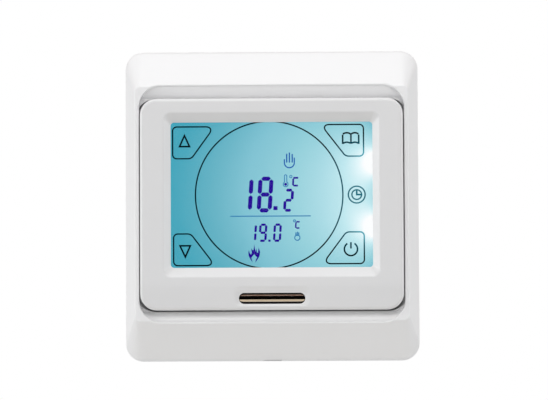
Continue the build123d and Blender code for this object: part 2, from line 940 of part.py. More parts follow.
def make_housing_screws():
    seat = plate_front - housing_screw_head_height
    screws = [pan_screw(x, z, housing_screw_radius, housing_screw_length, housing_screw_head,
                        housing_screw_head_height, seat, False) for x, z in housing_screw_places()]
    return Compound(children=screws)


def make_retaining_springs():
    """Bent leaves on the base plate that grip the sides of the back cover."""
    foot = plate_front + spring_thickness / 2
    tip = pocket_floor_back - spring_thickness
    touch = tub_right + spring_touch_gap + spring_thickness / 2
    stand = touch + spring_bow
    bend = cover_back + spring_bend
    right = [(stand + spring_foot, foot), (stand, foot), (stand, bend - spring_bow),
             (touch, bend), (stand, tip)]
    springs = []
    for side in (-1, 1):
        for z in (-spring_spacing / 2, spring_spacing / 2):
            path = [(side * x, front) for x, front in right]
            springs.append(strip_along_z(path, spring_thickness, z - spring_width / 2, z + spring_width / 2))
    return Compound(children=springs)


def make_rear_housing():
    outer = RectangleRounded(housing_width, housing_height, housing_corner)
    inner = RectangleRounded(2 * housing_in_x, 2 * housing_in_z, housing_corner - housing_wall)
    housing = slab(outer, -housing_depth, 0) - slab(inner, -housing_depth + housing_wall, 1)
    floor = block_top + block_clearance
    partition = block(-housing_in_x, housing_in_x, floor, floor + partition_wall,
                      -housing_depth, power_back - block_clearance)
    housing += partition & slab(outer, -housing_depth, 0)
    half = block_width / 2 + block_clearance
    housing -= block(-half, half, -housing_height, floor, -housing_depth - 1, power_back + block_clearance)
    bosses = Part()
    for x, z in housing_screw_places():
        bosses += rod(x, z, housing_boss_radius, -housing_boss_depth, 0)
    for side in (-1, 1):
        inside = side * (housing_in_x - ledge_width / 2)
        bosses += block(inside - ledge_width / 2 - 0.1, inside + ledge_width / 2 + 0.1, ledge_length / 2,
                        3 * ledge_length / 2, power_back - ledge_depth, power_back)
    housing += bosses & slab(outer, -housing_depth, 0)
    for x, z in housing_screw_places():
        housing -= rod(x, z, housing_screw_radius + thread_gap, -housing_boss_depth + housing_wall, 1)
    return housing - rear_vents()


def rear_vents():
    """Cooling slots in the back of the housing."""
    first = housing_in_z - vent_pitch
    vents = Part()
    for number in range(vent_count):
        z = first - number * vent_pitch
        outline = Pos(0, z) * SlotOverall(vent_length, vent_width)
        vents += slab(outline, -housing_depth - 1, -housing_depth + 2 * housing_wall)
    return vents


def make_power_board():
    outline = RectangleRounded(2 * (housing_in_x - board_edge_gap), 2 * (housing_in_z - board_edge_gap),
                               housing_corner - housing_wall - board_edge_gap)
    board = slab(outline, power_back, power_front)
    for x, z in housing_screw_places():
        board -= rod(x, z, housing_boss_radius + board_edge_gap, power_back - 1, power_front + 1)
    return board


def make_relay():
    """Power relay: a plain sealed can with a step round its foot."""
    left, bottom = relay_place
    foot = block(left, left + relay_length, bottom, bottom + relay_width, power_back - relay_foot, power_back)
    can = block(left + relay_step, left + relay_length - relay_step, bottom + relay_step,
                bottom + relay_width - relay_step, power_back - relay_height, power_back - relay_foot)
    can = fillet(can.edges().group_by(Axis.Y)[-1], relay_step)
    return foot + can


def make_mains_capacitor():
    """Box capacitor across the mains."""
    left, bottom = capacitor_place
    case = block(left, left + capacitor_width, bottom, bottom + capacitor_length,
                 power_back - capacitor_height, power_back)
    return fillet(case.edges().filter_by(Axis.Y), capacitor_round)


def make_smoothing_capacitor():
    """Round capacitor with a rolled groove near its foot."""
    x, z = can_place
    can = rod(x, z, can_radius, power_back - can_height, power_back)
    groove = rod(x, z, can_radius + 1, power_back - 2 * can_groove, power_back - can_groove)
    groove -= rod(x, z, can_radius - can_groove / 2, power_back - 2 * can_groove, power_back - can_groove)
    can -= groove
    return fillet(can.edges().group_by(Axis.Y)[-1], can_groove / 2)


def make_transformer():
    """Small supply transformer: a core, a wound bobbin and two flanges."""
    left, bottom = transformer_place
    size = transformer_size
    right = left + size
    top = bottom + size
    low = power_back - transformer_foot
    high = power_back - transformer_height
    x = (left + right) / 2
    z = (bottom + top) / 2
    foot = block(left, right, bottom, top, low, power_back)
    winding = rod(x, z, size / 2 - transformer_foot / 2, high + transformer_foot, low)
    flange = block(left, right, bottom, top, high, high + transformer_foot)
    core = block(left, right, z - transformer_core / 2, z + transformer_core / 2, high, power_back)
    return foot + winding + flange + core


def make_fuse():
    """Upright sealed fuse."""
    x, z = fuse_place
    body = rod(x, z, fuse_radius, power_back - fuse_height, power_back)
    return fillet(body.edges().group_by(Axis.Y)[-1], fuse_radius / 4)


# Terminals

def make_terminal_block():
    """Housing with a cell, a wire entry, a screw funnel and a bar slot for each terminal."""
    body = block(-block_width / 2, block_width / 2, block_bottom, block_top, block_back, power_back)
    half_cell = cell_width / 2
    half_length = cage_length / 2 + cage_gap
    half_bar = bar_half() + cage_gap
    bar_end = block_top - cell_wall
    for x in terminal_xs():
        body -= block(x - half_cell, x + half_cell, terminal_z - half_length, terminal_z + half_length,
                      head_front - terminal_head_gap, cell_front)
        body -= rod(x, terminal_z, terminal_head_radius + terminal_head_gap, block_back - 1, head_front)
        entry = cage_width / 2 - cage_side - wire_entry_margin
        body -= block(x - entry, x + entry, block_bottom - 1, terminal_z,
                      bar_front + wire_entry_margin, cage_front - cage_floor - wire_entry_margin)
        body -= block(x - half_bar, x + half_bar, terminal_z - half_length, bar_end + cage_gap,
                      bar_back - cage_gap, bar_front + cage_gap)
        body -= block(x - half_bar, x + half_bar, bar_end - bar_thickness - cage_gap, bar_end + cage_gap,
                      bar_back - cage_gap, power_back)
    return body


def bar_half():
    """Half width of a contact bar, which passes through its cage."""
    return cage_width / 2 - cage_side - bar_side_gap


def make_contact_bars():
    """One bent bar for each terminal: a tongue through the cage and a leg down to the board."""
    bars = []
    end = block_top - cell_wall
    for x in terminal_xs():
        half = bar_half()
        bar = block(x - half, x + half, terminal_z - cage_length / 2, end, bar_back, bar_front)
        bar += block(x - half, x + half, end - bar_thickness, end, bar_back, power_back)
        bars.append(bar)
    return Compound(children=bars)


def make_terminal_cage(x):
    """Box clamp that rises as its screw turns."""
    half = cage_width / 2
    length = cage_length / 2
    cage = block(x - half, x + half, terminal_z - length, terminal_z + length, cage_back, cage_front)
    window = half - cage_side
    cage -= block(x - window, x + window, terminal_z - length - 1, terminal_z + length + 1,
                  cage_top_front, cage_front - cage_floor)
    return cage - rod(x, terminal_z, terminal_screw_radius + thread_gap, cage_back - 1, cage_top_front + 1)


def make_terminal_screw(x):
    """Cheese-head screw whose tip bears on the contact bar."""
    tip = bar_back - terminal_tip_gap
    head_back = head_front - terminal_head_height
    screw = rod(x, terminal_z, terminal_screw_radius, head_front, tip)
    screw += rod(x, terminal_z, terminal_head_radius, head_back, head_front)
    half = driver_slot_width / 2
    reach = terminal_head_radius
    return screw - block(x - reach, x + reach, terminal_z - half, terminal_z + half,
                         head_back, head_back + driver_slot_depth)


def all_parts():
    """Every node's name and its solids."""
    parts = {
        "base_plate": make_base_plate(),
        "rear_housing": make_rear_housing(),
        "housing_screws": make_housing_screws(),
        "power_board": make_power_board(),
        "relay": make_relay(),
        "mains_capacitor": make_mains_capacitor(),
        "smoothing_capacitor": make_smoothing_capacitor(),
        "transformer": make_transformer(),
        "fuse": make_fuse(),
        "board_socket": make_board_socket(),
        "retaining_springs": make_retaining_springs(),
        "terminal_block": make_terminal_block(),
        "contact_bars": make_contact_bars(),
        "outer_frame": make_outer_frame(),
        "front_bezel": make_front_bezel(),
        "trim_bar": make_trim_bar(),
        "touch_gasket": make_touch_gasket(),
        "touch_panel": make_touch_panel(),
        "touch_tail": make_touch_tail(),
        "tail_connector": make_tail_connector(),
        "lcd_panel": make_lcd_panel(),
        "light_guide": make_light_guide(),
        "reflector_sheet": make_reflector_sheet(),
        "backlight_leds": make_backlight_leds(),
        "display_frame": make_display_frame(),
        "contact_strip": make_contact_strip(),
        "control_board": make_control_board(),
        "microcontroller": make_microcontroller(),
        "clock_crystal": make_clock_crystal(),
        "backup_cell": make_backup_cell(),
        "cell_clip": make_cell_clip(),
        "room_sensor": make_room_sensor(),
        "board_header": make_board_header(),
        "header_pins": make_header_pins(),
        "back_cover": make_back_cover(),
        "back_cover_screws": make_back_cover_screws(),
    }
    for number, x in enumerate(terminal_xs(), start=1):
        parts[f"terminal_cage_{number}"] = make_terminal_cage(x)
        parts[f"terminal_screw_{number}"] = make_terminal_screw(x)
    return parts


os.makedirs("parts", exist_ok=True)
for name, shape in all_parts().items():
    export_step(shape, f"parts/{name}.step")
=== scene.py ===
import json
from math import cos, degrees, pi, radians, sin

import bmesh
import bpy
from mathutils import Matrix, Quaternion, Vector


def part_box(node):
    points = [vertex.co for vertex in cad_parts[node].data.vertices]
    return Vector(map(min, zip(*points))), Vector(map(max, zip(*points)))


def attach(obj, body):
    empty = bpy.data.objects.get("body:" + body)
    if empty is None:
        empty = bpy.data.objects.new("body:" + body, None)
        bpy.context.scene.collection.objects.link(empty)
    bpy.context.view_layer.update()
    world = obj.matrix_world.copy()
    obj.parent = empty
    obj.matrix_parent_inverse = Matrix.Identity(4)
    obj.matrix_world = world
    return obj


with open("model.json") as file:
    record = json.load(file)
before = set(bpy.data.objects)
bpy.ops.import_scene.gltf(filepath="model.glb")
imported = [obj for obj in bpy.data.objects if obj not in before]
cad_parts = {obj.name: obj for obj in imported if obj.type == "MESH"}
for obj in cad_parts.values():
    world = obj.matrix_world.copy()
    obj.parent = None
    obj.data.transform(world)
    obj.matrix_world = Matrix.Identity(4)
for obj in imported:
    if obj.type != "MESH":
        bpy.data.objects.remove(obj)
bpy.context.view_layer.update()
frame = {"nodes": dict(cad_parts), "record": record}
scene = bpy.context.scene
mm = 0.001
print("thermostat frame loaded,", len(frame["nodes"]), "nodes")


def frontOf(node):  # how far a node reaches into the room, in mm from the wall
    return -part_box(node)[0][1] / mm


# shader building

def pick(r, g, b):  # colour picker numbers to the linear ones that sockets hold
    parts = [c / 255 for c in (r, g, b)]
    return tuple(c / 12.92 if c <= 0.04045 else ((c + 0.055) / 1.055) ** 2.4 for c in parts) + (1.0,)


def addNode(tree, kind, sockets=None, **settings):
    node = tree.nodes.new("ShaderNode" + kind)
    for name, value in settings.items():
        setattr(node, name, value)
    for name, value in (sockets or {}).items():
        if isinstance(value, bpy.types.NodeSocket):
            tree.links.new(value, node.inputs[name])
        else:
            node.inputs[name].default_value = value
    return node


def calc(tree, operation, *values):
    return addNode(tree, "Math", dict(enumerate(values)), operation=operation).outputs[0]


def addNoise(tree, spot, scale, detail):
    return addNode(tree, "TexNoise", {"Vector": spot, "Scale": scale, "Detail": detail}).outputs["Fac"]


def mixColours(tree, share, first, second):
    return addNode(tree, "Mix", {0: share, 6: first, 7: second}, data_type="RGBA").outputs[2]


def newGroup(name, takes, gives):
    tree = bpy.data.node_groups.new(name, "ShaderNodeTree")
    for label, kind, value in takes:
        socket = tree.interface.new_socket(name=label, in_out="INPUT", socket_type="NodeSocket" + kind)
        socket.default_value = value
    for label, kind in gives:
        tree.interface.new_socket(name=label, in_out="OUTPUT", socket_type="NodeSocket" + kind)
    return tree, tree.nodes.new("NodeGroupInput").outputs, tree.nodes.new("NodeGroupOutput").inputs


def newMaterial(name, sockets=None):
    material = bpy.data.materials.new(name)
    material.use_nodes = True
    shader = material.node_tree.nodes["Principled BSDF"]
    for label, value in (sockets or {}).items():
        shader.inputs[label].default_value = value
    return material, material.node_tree, shader


mouldedLook = dict(cloudScale=55.0, cloudDetail=3.0, grainDetail=2.0, cloudRough=0.16, grainRough=0.12)
drawnLook = dict(streakDetail=3.0, streakRough=0.14, blotchScale=380.0, blotchDetail=4.0,
                 dullFrom=0.5, dullTo=0.85, dullMost=0.45, dullRough=0.2)


def makeMouldedSkin(look):  # plastic from an eroded tool: slow tint drift, fine even grain
    tree, takes, gives = newGroup(
        "mouldedSkin",
        [("Colour", "Color", (0.8, 0.8, 0.8, 1)), ("Drift", "Float", 0.03),
         ("Roughness", "Float", 0.4), ("Grain", "Float", 2600.0)],
        [("Colour", "Color"), ("Roughness", "Float"), ("Height", "Float")])
    spot = addNode(tree, "TexCoord").outputs["Object"]
    cloud = addNoise(tree, spot, look["cloudScale"], look["cloudDetail"])
    grain = addNoise(tree, spot, takes["Grain"], look["grainDetail"])
    cloudSwing = calc(tree, "SUBTRACT", cloud, 0.5)
    grainSwing = calc(tree, "SUBTRACT", grain, 0.5)
    shade = calc(tree, "MULTIPLY_ADD", cloudSwing, takes["Drift"], 1.0)
    tinted = addNode(tree, "VectorMath", {0: takes["Colour"], "Scale": shade}, operation="SCALE").outputs[0]
    rough = calc(tree, "MULTIPLY_ADD", cloudSwing, look["cloudRough"], takes["Roughness"])
    rough = calc(tree, "MULTIPLY_ADD", grainSwing, look["grainRough"], rough)
    tree.links.new(tinted, gives["Colour"])
    tree.links.new(rough, gives["Roughness"])
    tree.links.new(grain, gives["Height"])
    return tree


def makeDrawnMetal(look):  # rolled or drawn metal: streaks along one way, a little tarnish
    tree, takes, gives = newGroup(
        "drawnMetal",
        [("Colour", "Color", (0.7, 0.7, 0.7, 1)), ("Tarnish", "Color", (0.4, 0.38, 0.35, 1)),
         ("Roughness", "Float", 0.25), ("Stretch", "Vector", (200.0, 4000.0, 4000.0))],
        [("Colour", "Color"), ("Roughness", "Float"), ("Height", "Float")])
    spot = addNode(tree, "TexCoord").outputs["Object"]
    along = addNode(tree, "VectorMath", {0: spot, 1: takes["Stretch"]}, operation="MULTIPLY").outputs[0]
    streak = addNoise(tree, along, 1.0, look["streakDetail"])
    blotch = addNoise(tree, spot, look["blotchScale"], look["blotchDetail"])
    dull = addNode(tree, "MapRange", {"Value": blotch, "From Min": look["dullFrom"], "From Max": look["dullTo"],
                                      "To Max": look["dullMost"]}).outputs[0]
    streakSwing = calc(tree, "SUBTRACT", streak, 0.5)
    rough = calc(tree, "MULTIPLY_ADD", streakSwing, look["streakRough"], takes["Roughness"])
    rough = calc(tree, "MULTIPLY_ADD", dull, look["dullRough"], rough)
    tree.links.new(mixColours(tree, dull, takes["Colour"], takes["Tarnish"]), gives["Colour"])
    tree.links.new(rough, gives["Roughness"])
    tree.links.new(streak, gives["Height"])
    return tree


def makeLampFall():  # how far the light of one edge lamp carries across the display
    tree, takes, gives = newGroup(
        "lampFall",
        [("Point", "Vector", (0, 0, 0)), ("Lamp", "Vector", (32.0, 0, 0)),
         ("Spread", "Float", 0.8), ("Core", "Float", 4.0)],
        [("Glow", "Float")])
    away = addNode(tree, "VectorMath", {0: takes["Lamp"], 1: takes["Point"]}, operation="SUBTRACT").outputs[0]
    reach = addNode(tree, "VectorMath", {0: away}, operation="LENGTH").outputs["Value"]
    ahead = calc(tree, "MAXIMUM", addNode(tree, "SeparateXYZ", {0: away}).outputs["X"], 0.01)  # never behind
    lean = calc(tree, "POWER", calc(tree, "DIVIDE", ahead, reach), takes["Spread"])
    tree.links.new(calc(tree, "DIVIDE", lean, calc(tree, "ADD", reach, takes["Core"])), gives["Glow"])
    return tree


mouldedSkin = makeMouldedSkin(mouldedLook)
drawnMetal = makeDrawnMetal(drawnLook)
lampFall = makeLampFall()


def dress(tree, shader, skin, height, depth):  # colour, roughness and bump of a surface, depth in mm
    tree.links.new(skin.outputs["Colour"], shader.inputs["Base Color"])
    tree.links.new(skin.outputs["Roughness"], shader.inputs["Roughness"])
    bump = addNode(tree, "Bump", {"Height": height, "Strength": 1.0, "Distance": depth * mm})
    tree.links.new(bump.outputs[0], shader.inputs["Normal"])


def plasticFinish(name, colour, rough, drift=0.04, grain=2600.0, depth=0.004, gloss=0.5):
    material, tree, shader = newMaterial(name, {"Specular IOR Level": gloss})
    skin = addNode(tree, "Group", {"Colour": colour, "Drift": drift, "Roughness": rough, "Grain": grain},
                   node_tree=mouldedSkin)
    dress(tree, shader, skin, skin.outputs["Height"], depth)
    return material


def metalFinish(name, colour, tarnish, rough, stretch=(200.0, 4000.0, 4000.0), depth=0.001):
    material, tree, shader = newMaterial(name, {"Metallic": 1.0})
    sheen = addNode(tree, "Group", {"Colour": colour, "Tarnish": tarnish, "Roughness": rough, "Stretch": stretch},
                    node_tree=drawnMetal)
    dress(tree, shader, sheen, sheen.outputs["Height"], depth)
    return material


# finishes, one for each slot of the record

plastics = {
    # the frame is painted lighter than the bezel, a painted brightening for its shaded coves and slopes; both are
    # the same white plastic
    "frame_plastic": dict(colour=pick(241, 241, 242), rough=0.36, drift=0.015, depth=0.002),
    "bezel_plastic": dict(colour=pick(228, 228, 229), rough=0.34, drift=0.015, depth=0.002),
    "reflector_film": dict(colour=pick(244, 244, 244), rough=0.25, drift=0.01, depth=0.0005),
    "led_plastic": dict(colour=pick(240, 232, 196), rough=0.22, grain=6000.0),
    "gasket_foam": dict(colour=pick(34, 34, 35), rough=0.85, drift=0.3, grain=5200.0, depth=0.05, gloss=0.2),
    "display_plastic": dict(colour=pick(226, 225, 221), rough=0.5),
    "ribbon_film": dict(colour=pick(186, 112, 32), rough=0.3, drift=0.12, grain=900.0, depth=0.002),
    "chip_epoxy": dict(colour=pick(38, 38, 39), rough=0.6, drift=0.2, grain=7000.0, depth=0.01),
    "connector_plastic": dict(colour=pick(36, 36, 38), rough=0.45, drift=0.15),
    "base_plastic": dict(colour=pick(228, 228, 227), rough=0.48, drift=0.03, depth=0.006),
    "housing_plastic": dict(colour=pick(226, 226, 225), rough=0.5, drift=0.035, depth=0.008),
    "terminal_plastic": dict(colour=pick(58, 59, 62), rough=0.46, drift=0.12),
    "relay_case": dict(colour=pick(42, 43, 46), rough=0.3, drift=0.1),
    "capacitor_case": dict(colour=pick(206, 158, 46), rough=0.34, drift=0.1),
    "can_sleeve": dict(colour=pick(36, 46, 84), rough=0.26, drift=0.1),
    "fuse_case": dict(colour=pick(112, 58, 36), rough=0.35, drift=0.12),
}
metals = {
    "pin_metal": dict(colour=pick(224, 196, 128), tarnish=pick(164, 126, 74), rough=0.24),
    "bright_steel": dict(colour=pick(206, 206, 205), tarnish=pick(150, 147, 141), rough=0.26),
    "terminal_steel": dict(colour=pick(214, 212, 203), tarnish=pick(158, 150, 132), rough=0.32,
                           stretch=(2600.0, 300.0, 2600.0)),
}
finishes = {slot: plasticFinish(slot + "_skin", **look) for slot, look in plastics.items()}
finishes.update({slot: metalFinish(slot + "_sheen", **look) for slot, look in metals.items()})

chrome = dict(colour=pick(236, 232, 226), shade=pick(205, 198, 190), rough=0.05, stretch=(350.0, 5000.0, 5000.0),
              polish=0.5, haze=0.03, depth=0.0006)


def chromeFinish(look):  # plated bar: mirror bright, faint polishing lines along its length
    material, tree, shader = newMaterial("trim_chrome_mirror", {"Metallic": 1.0})
    sheen = addNode(tree, "Group", {"Colour": look["colour"], "Tarnish": look["shade"],
                                    "Roughness": look["rough"], "Stretch": look["stretch"]}, node_tree=drawnMetal)
    dress(tree, shader, sheen, sheen.outputs["Height"], look["depth"])
    rough = calc(tree, "MULTIPLY_ADD", sheen.outputs["Roughness"], look["polish"], look["haze"])
    tree.links.new(rough, shader.inputs["Roughness"])  # smoother than drawn metal
    return material


clears = {
    "touch_glass": dict(colour=(1, 1, 1, 1), ior=1.16, rough=0.0, smear=0.01),
    "guide_acrylic": dict(colour=pick(244, 250, 252), ior=1.49, rough=0.02, smear=0.06),
}


def clearFinish(slot, colour, ior, rough, smear, scale=90.0, detail=4.0):  # the faintest uneven polish
    material, tree, shader = newMaterial(slot + "_clear", {"Base Color": colour, "IOR": ior,
                                                           "Transmission Weight": 1.0})
    cloud = addNoise(tree, addNode(tree, "TexCoord").outputs["Object"], scale, detail)
    tree.links.new(calc(tree, "MULTIPLY_ADD", cloud, smear, rough), shader.inputs["Roughness"])
    return material


display = dict(  # two lamps at the right edge light the panel; stops are lamp level and colour
    glass=pick(5, 8, 9), rough=0.3, gloss=0.1, hazeScale=420.0, hazeDetail=3.0, hazeSwing=0.05,
    lamps=((32.9, 0, 12.25), (32.9, 0, -6.75)), spread=0.62, core=2.0, fullGlow=0.15,
    stops=((0.205, pick(66, 164, 186)), (0.25, pick(100, 178, 196)), (0.30, pick(127, 194, 210)),
           (0.40, pick(147, 207, 218)), (0.53, pick(168, 218, 228)), (0.68, pick(192, 232, 239)),
           (0.85, pick(228, 247, 251)), (0.97, pick(252, 254, 255))))


def lampLevel(tree, spot, look):
    flat = addNode(tree, "VectorMath", {0: spot, 1: (1 / mm, 0, 1 / mm)}, operation="MULTIPLY").outputs[0]
    glows = [addNode(tree, "Group", {"Point": flat, "Lamp": lamp, "Spread": look["spread"], "Core": look["core"]},
                     node_tree=lampFall).outputs[0] for lamp in look["lamps"]]
    return calc(tree, "DIVIDE", calc(tree, "ADD", *glows), look["fullGlow"])


def addRamp(tree, level, stops):
    ramp = addNode(tree, "ValToRGB", {0: level})
    dots = ramp.color_ramp.elements
    while len(dots) < len(stops):
        dots.new(1.0)
    for dot, (place, colour) in zip(dots, stops):
        dot.position = place
        dot.color = colour
    return ramp.outputs[0]


def displayFinish(look):
    material, tree, shader = newMaterial("lcd_glass_lit", {"Base Color": look["glass"], "Roughness": look["rough"],
                                                           "Specular IOR Level": look["gloss"],
                                                           "Emission Strength": 1.0})
    spot = addNode(tree, "TexCoord").outputs["Object"]
    haze = addNoise(tree, spot, look["hazeScale"], look["hazeDetail"])
    shade = calc(tree, "MULTIPLY_ADD", haze, look["hazeSwing"], 1 - look["hazeSwing"] / 2)
    level = calc(tree, "MULTIPLY", lampLevel(tree, spot, look), shade)
    tree.links.new(addRamp(tree, level, look["stops"]), shader.inputs["Emission Color"])
    return material


board = dict(
    mask=pick(30, 112, 62), track=pick(58, 146, 88), rough=0.34, drift=0.08, grain=2200.0, depth=0.02,
    netScale=260, trackWide=0.09, fieldLong=1.6, fieldTall=0.42, fieldShift=0.37)


def boardFinish(look):  # green mask over a net of tracks, with the weave just felt
    material, tree, shader = newMaterial("board_laminate_mask", {"Specular IOR Level": 0.5})
    spot = addNode(tree, "TexCoord").outputs["Object"]
    turned = addNode(tree, "Mapping", {"Vector": spot, "Rotation": (radians(-90), 0, 0),
                                       "Scale": (look["netScale"],) * 3})
    net = addNode(tree, "TexBrick", {"Vector": turned.outputs[0], "Color1": look["mask"], "Color2": look["mask"],
                                     "Mortar": look["track"], "Scale": 1.0, "Mortar Size": look["trackWide"],
                                     "Brick Width": look["fieldLong"], "Row Height": look["fieldTall"]},
                  offset=look["fieldShift"])
    skin = addNode(tree, "Group", {"Colour": net.outputs["Color"], "Drift": look["drift"],
                                   "Roughness": look["rough"], "Grain": look["grain"]}, node_tree=mouldedSkin)
    dress(tree, shader, skin, net.outputs["Fac"], look["depth"])
    return material


striped = {
    "contact_rubber": dict(dark=pick(44, 42, 46), pale=pick(204, 170, 180), pitch=0.18, along="X", rough=0.6),
    "winding_tape": dict(dark=pick(196, 158, 44), pale=pick(214, 180, 70), pitch=3.0, along="Y", rough=0.35),
}


def stripedFinish(slot, dark, pale, pitch, along, rough, depth=0.004):  # even stripes, pitch and depth in mm
    material, tree, shader = newMaterial(slot + "_stripes")
    spot = addNode(tree, "TexCoord").outputs["Object"]
    wave = addNode(tree, "TexWave", {"Vector": spot, "Scale": pi / 10 / (pitch * mm)}, bands_direction=along)
    colour = mixColours(tree, wave.outputs["Fac"], dark, pale)
    skin = addNode(tree, "Group", {"Colour": colour, "Roughness": rough}, node_tree=mouldedSkin)
    dress(tree, shader, skin, skin.outputs["Height"], depth)
    return material


finishes["trim_chrome"] = chromeFinish(chrome)
finishes["lcd_glass"] = displayFinish(display)
finishes["board_laminate"] = boardFinish(board)
finishes.update({slot: clearFinish(slot, **look) for slot, look in clears.items()})
finishes.update({slot: stripedFinish(slot, **look) for slot, look in striped.items()})

for part in frame["record"]["subparts"]:
    node = frame["nodes"][part["node"]]
    node.data.materials.clear()
    node.data.materials.append(finishes[part["material_slot"]])
print("finishes on the nodes:", len(finishes))

inkLook = dict(base=pick(2, 2, 4), gloss=0.05, rough=0.5, drift=0.3, grain=5000.0)


# a liquid crystal bar glows with the backlight behind it; the print gets a painted glow that rises with the
# display's lamp level, where its glow stops are given
def inkFinish(name, colour, paintedGlow=None, look=inkLook):
    material, tree, shader = newMaterial(name, {"Base Color": look["base"], "Specular IOR Level": look["gloss"],
                                                "Emission Strength": 1.0})
    skin = addNode(tree, "Group", {"Colour": colour, "Drift": look["drift"], "Roughness": look["rough"],
                                   "Grain": look["grain"]}, node_tree=mouldedSkin)
    tree.links.new(skin.outputs["Colour"], shader.inputs["Base Color" if paintedGlow else "Emission Color"])
    tree.links.new(skin.outputs["Roughness"], shader.inputs["Roughness"])
    # painted glow: the print's emission follows the lamp level of the display behind it
    if paintedGlow:
        spot = addNode(tree, "TexCoord").outputs["Object"]
        tree.links.new(addRamp(tree, lampLevel(tree, spot, display), paintedGlow), shader.inputs["Emission Color"])
    return material


# flat drawing in mm, x to the right and y up, one small bmesh for each mark

def keep(sheet, sketch):
    mesh = bpy.data.meshes.new("mark")
    sketch.to_mesh(mesh)
    sketch.free()
    sheet.from_mesh(mesh)
    bpy.data.meshes.remove(mesh)


def newShape(points):
    sketch = bmesh.new()
    sketch.faces.new([sketch.verts.new((x, y, 0)) for x, y in points])
    sketch.normal_update()
    return sketch


def roundCorners(sketch, corners, offset, steps=3):
    bmesh.ops.bevel(sketch, geom=corners, offset=offset, offset_type="OFFSET", affect="VERTICES",
                    segments=steps, profile=0.5, material=-1)


def hollow(sketch, line):  # leaves a band of this width inside the edge
    inner = sketch.faces[:]
    bmesh.ops.inset_region(sketch, faces=inner, thickness=line, use_boundary=True, use_even_offset=True)
    bmesh.ops.delete(sketch, geom=inner, context="FACES")


def addBlock(sheet, left, foot, right, head, soft, lean=0.0):
    sketch = newShape(((left, foot), (right, foot), (right + lean, head), (left + lean, head)))
    roundCorners(sketch, sketch.verts[:], soft)
    keep(sheet, sketch)


def addDisc(sheet, x, y, radius, line=0.0, steps=64):  # a ring where line is given
    sketch = bmesh.new()
    bmesh.ops.create_circle(sketch, cap_ends=True, segments=steps, radius=radius,
                            matrix=Matrix.Translation((x, y, 0)))
    if line:
        hollow(sketch, line)
    keep(sheet, sketch)


# angles in degrees, radius at the middle of the line
def addArc(sheet, x, y, radius, start, end, line, steps=20):
    sketch = bmesh.new()
    toward = Vector((cos(radians(start)), sin(radians(start)), 0))
    hub = Vector((x, y, 0))
    ends = [sketch.verts.new(hub + toward * (radius + side * line / 2)) for side in (-1, 1)]
    edge = sketch.edges.new(ends)
    bmesh.ops.spin(sketch, geom=[*ends, edge], cent=hub, axis=(0, 0, 1), angle=radians(end - start), steps=steps)
    keep(sheet, sketch)


def addStroke(sheet, start, end, line):  # a plain line with square ends
    sketch = newShape([(0, -line / 2), (1, -line / 2), (1, line / 2), (0, line / 2)])
    a, b = Vector(start).to_3d(), Vector(end).to_3d()
    turn = (b - a).to_track_quat("X", "Z").to_matrix().to_4x4()
    bmesh.ops.scale(sketch, vec=((b - a).length, 1, 1), verts=sketch.verts[:])
    bmesh.ops.transform(sketch, matrix=Matrix.Translation(a) @ turn, verts=sketch.verts[:])
    keep(sheet, sketch)


def standAt(front, level=0.0, tilt=0.0):  # a drawing stood up to face the room, in mm and degrees
    return (Matrix.Translation((0, -front * mm, level * mm)) @ Matrix.Rotation(radians(90 + tilt), 4, "X")
            @ Matrix.Scale(mm, 4))


# gives the film its thickness and puts it in place
def finishSheet(sheet, name, place, thick, material, body="module"):
    raised = bmesh.ops.extrude_face_region(sheet, geom=sheet.faces[:], use_keep_orig=True)["geom"]
    lifted = [v for v in raised if isinstance(v, bmesh.types.BMVert)]
    bmesh.ops.translate(sheet, verts=lifted, vec=(0, 0, thick))
    bmesh.ops.recalc_face_normals(sheet, faces=sheet.faces[:])
    bmesh.ops.transform(sheet, matrix=place, verts=sheet.verts[:])
    mesh = bpy.data.meshes.new(name)
    sheet.to_mesh(mesh)
    sheet.free()
    mesh.materials.append(material)
    piece = bpy.data.objects.new(name, mesh)
    scene.collection.objects.link(piece)
    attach(piece, body)
    print(name, "drawn,", len(mesh.polygons), "faces")


# the print on the touch panel: dial ring, four corner keys, key signs

touchPrint = dict(
    front=frontOf("touch_panel"), thick=0.03, line=0.4, bold=0.48, ink=pick(0, 14, 20),
    # painted glow stops for the print, by display lamp level
    paintedGlow=((0.48, (0, 0, 0, 1)), (0.66, pick(0, 80, 96)), (0.84, pick(58, 158, 176))),
    dial=dict(x=-0.74, y=2.72, radius=21.6, steps=192),
    keys=(dict(side=-28.94, far=22.83, near=13.16, farEnd=-16.2, nearEnd=-23.2),
          dict(side=-28.72, far=-17.92, near=-8.32, farEnd=-16.1, nearEnd=-23.45),
          dict(side=26.94, far=23.30, near=13.66, farEnd=13.95, nearEnd=21.42),
          dict(side=26.98, far=-17.56, near=-7.96, farEnd=14.3, nearEnd=21.5)),
    keyCorners=(1.4, 1.4, 0.95, 2.9), keySteps=8,
    upSign=((-27.1, 16.66), (-23.45, 16.66), (-25.3, 20.66)),
    downSign=((-27.06, -11.72), (-25.12, -15.78), (-23.3, -11.72)),
    book=dict(left=20.7, spine=23.1, right=25.35, foot=17.5, head=20.25, bow=0.42, dip=0.1, soft=0.05, steps=10),
    clock=dict(x=24.68, y=2.66, rim=2.64, face=1.6),
    power=dict(x=22.9, y=-13.14, radius=1.9, start=122, end=418, steps=48, stemFoot=0.15, stemOver=0.1))


def addKey(sheet, look, key):  # four sides, with a blunt tip where the dial comes near
    sketch = newShape(((key["side"], key["far"]), (key["side"], key["near"]), (key["nearEnd"], key["near"]),
                       (key["farEnd"], key["far"])))
    places = [v.co.copy() for v in sketch.verts]
    for place, offset in zip(places, look["keyCorners"]):
        roundCorners(sketch, [min(sketch.verts, key=lambda v: (v.co - place).length)], offset,
                     look["keySteps"])
    hollow(sketch, look["line"])
    keep(sheet, sketch)


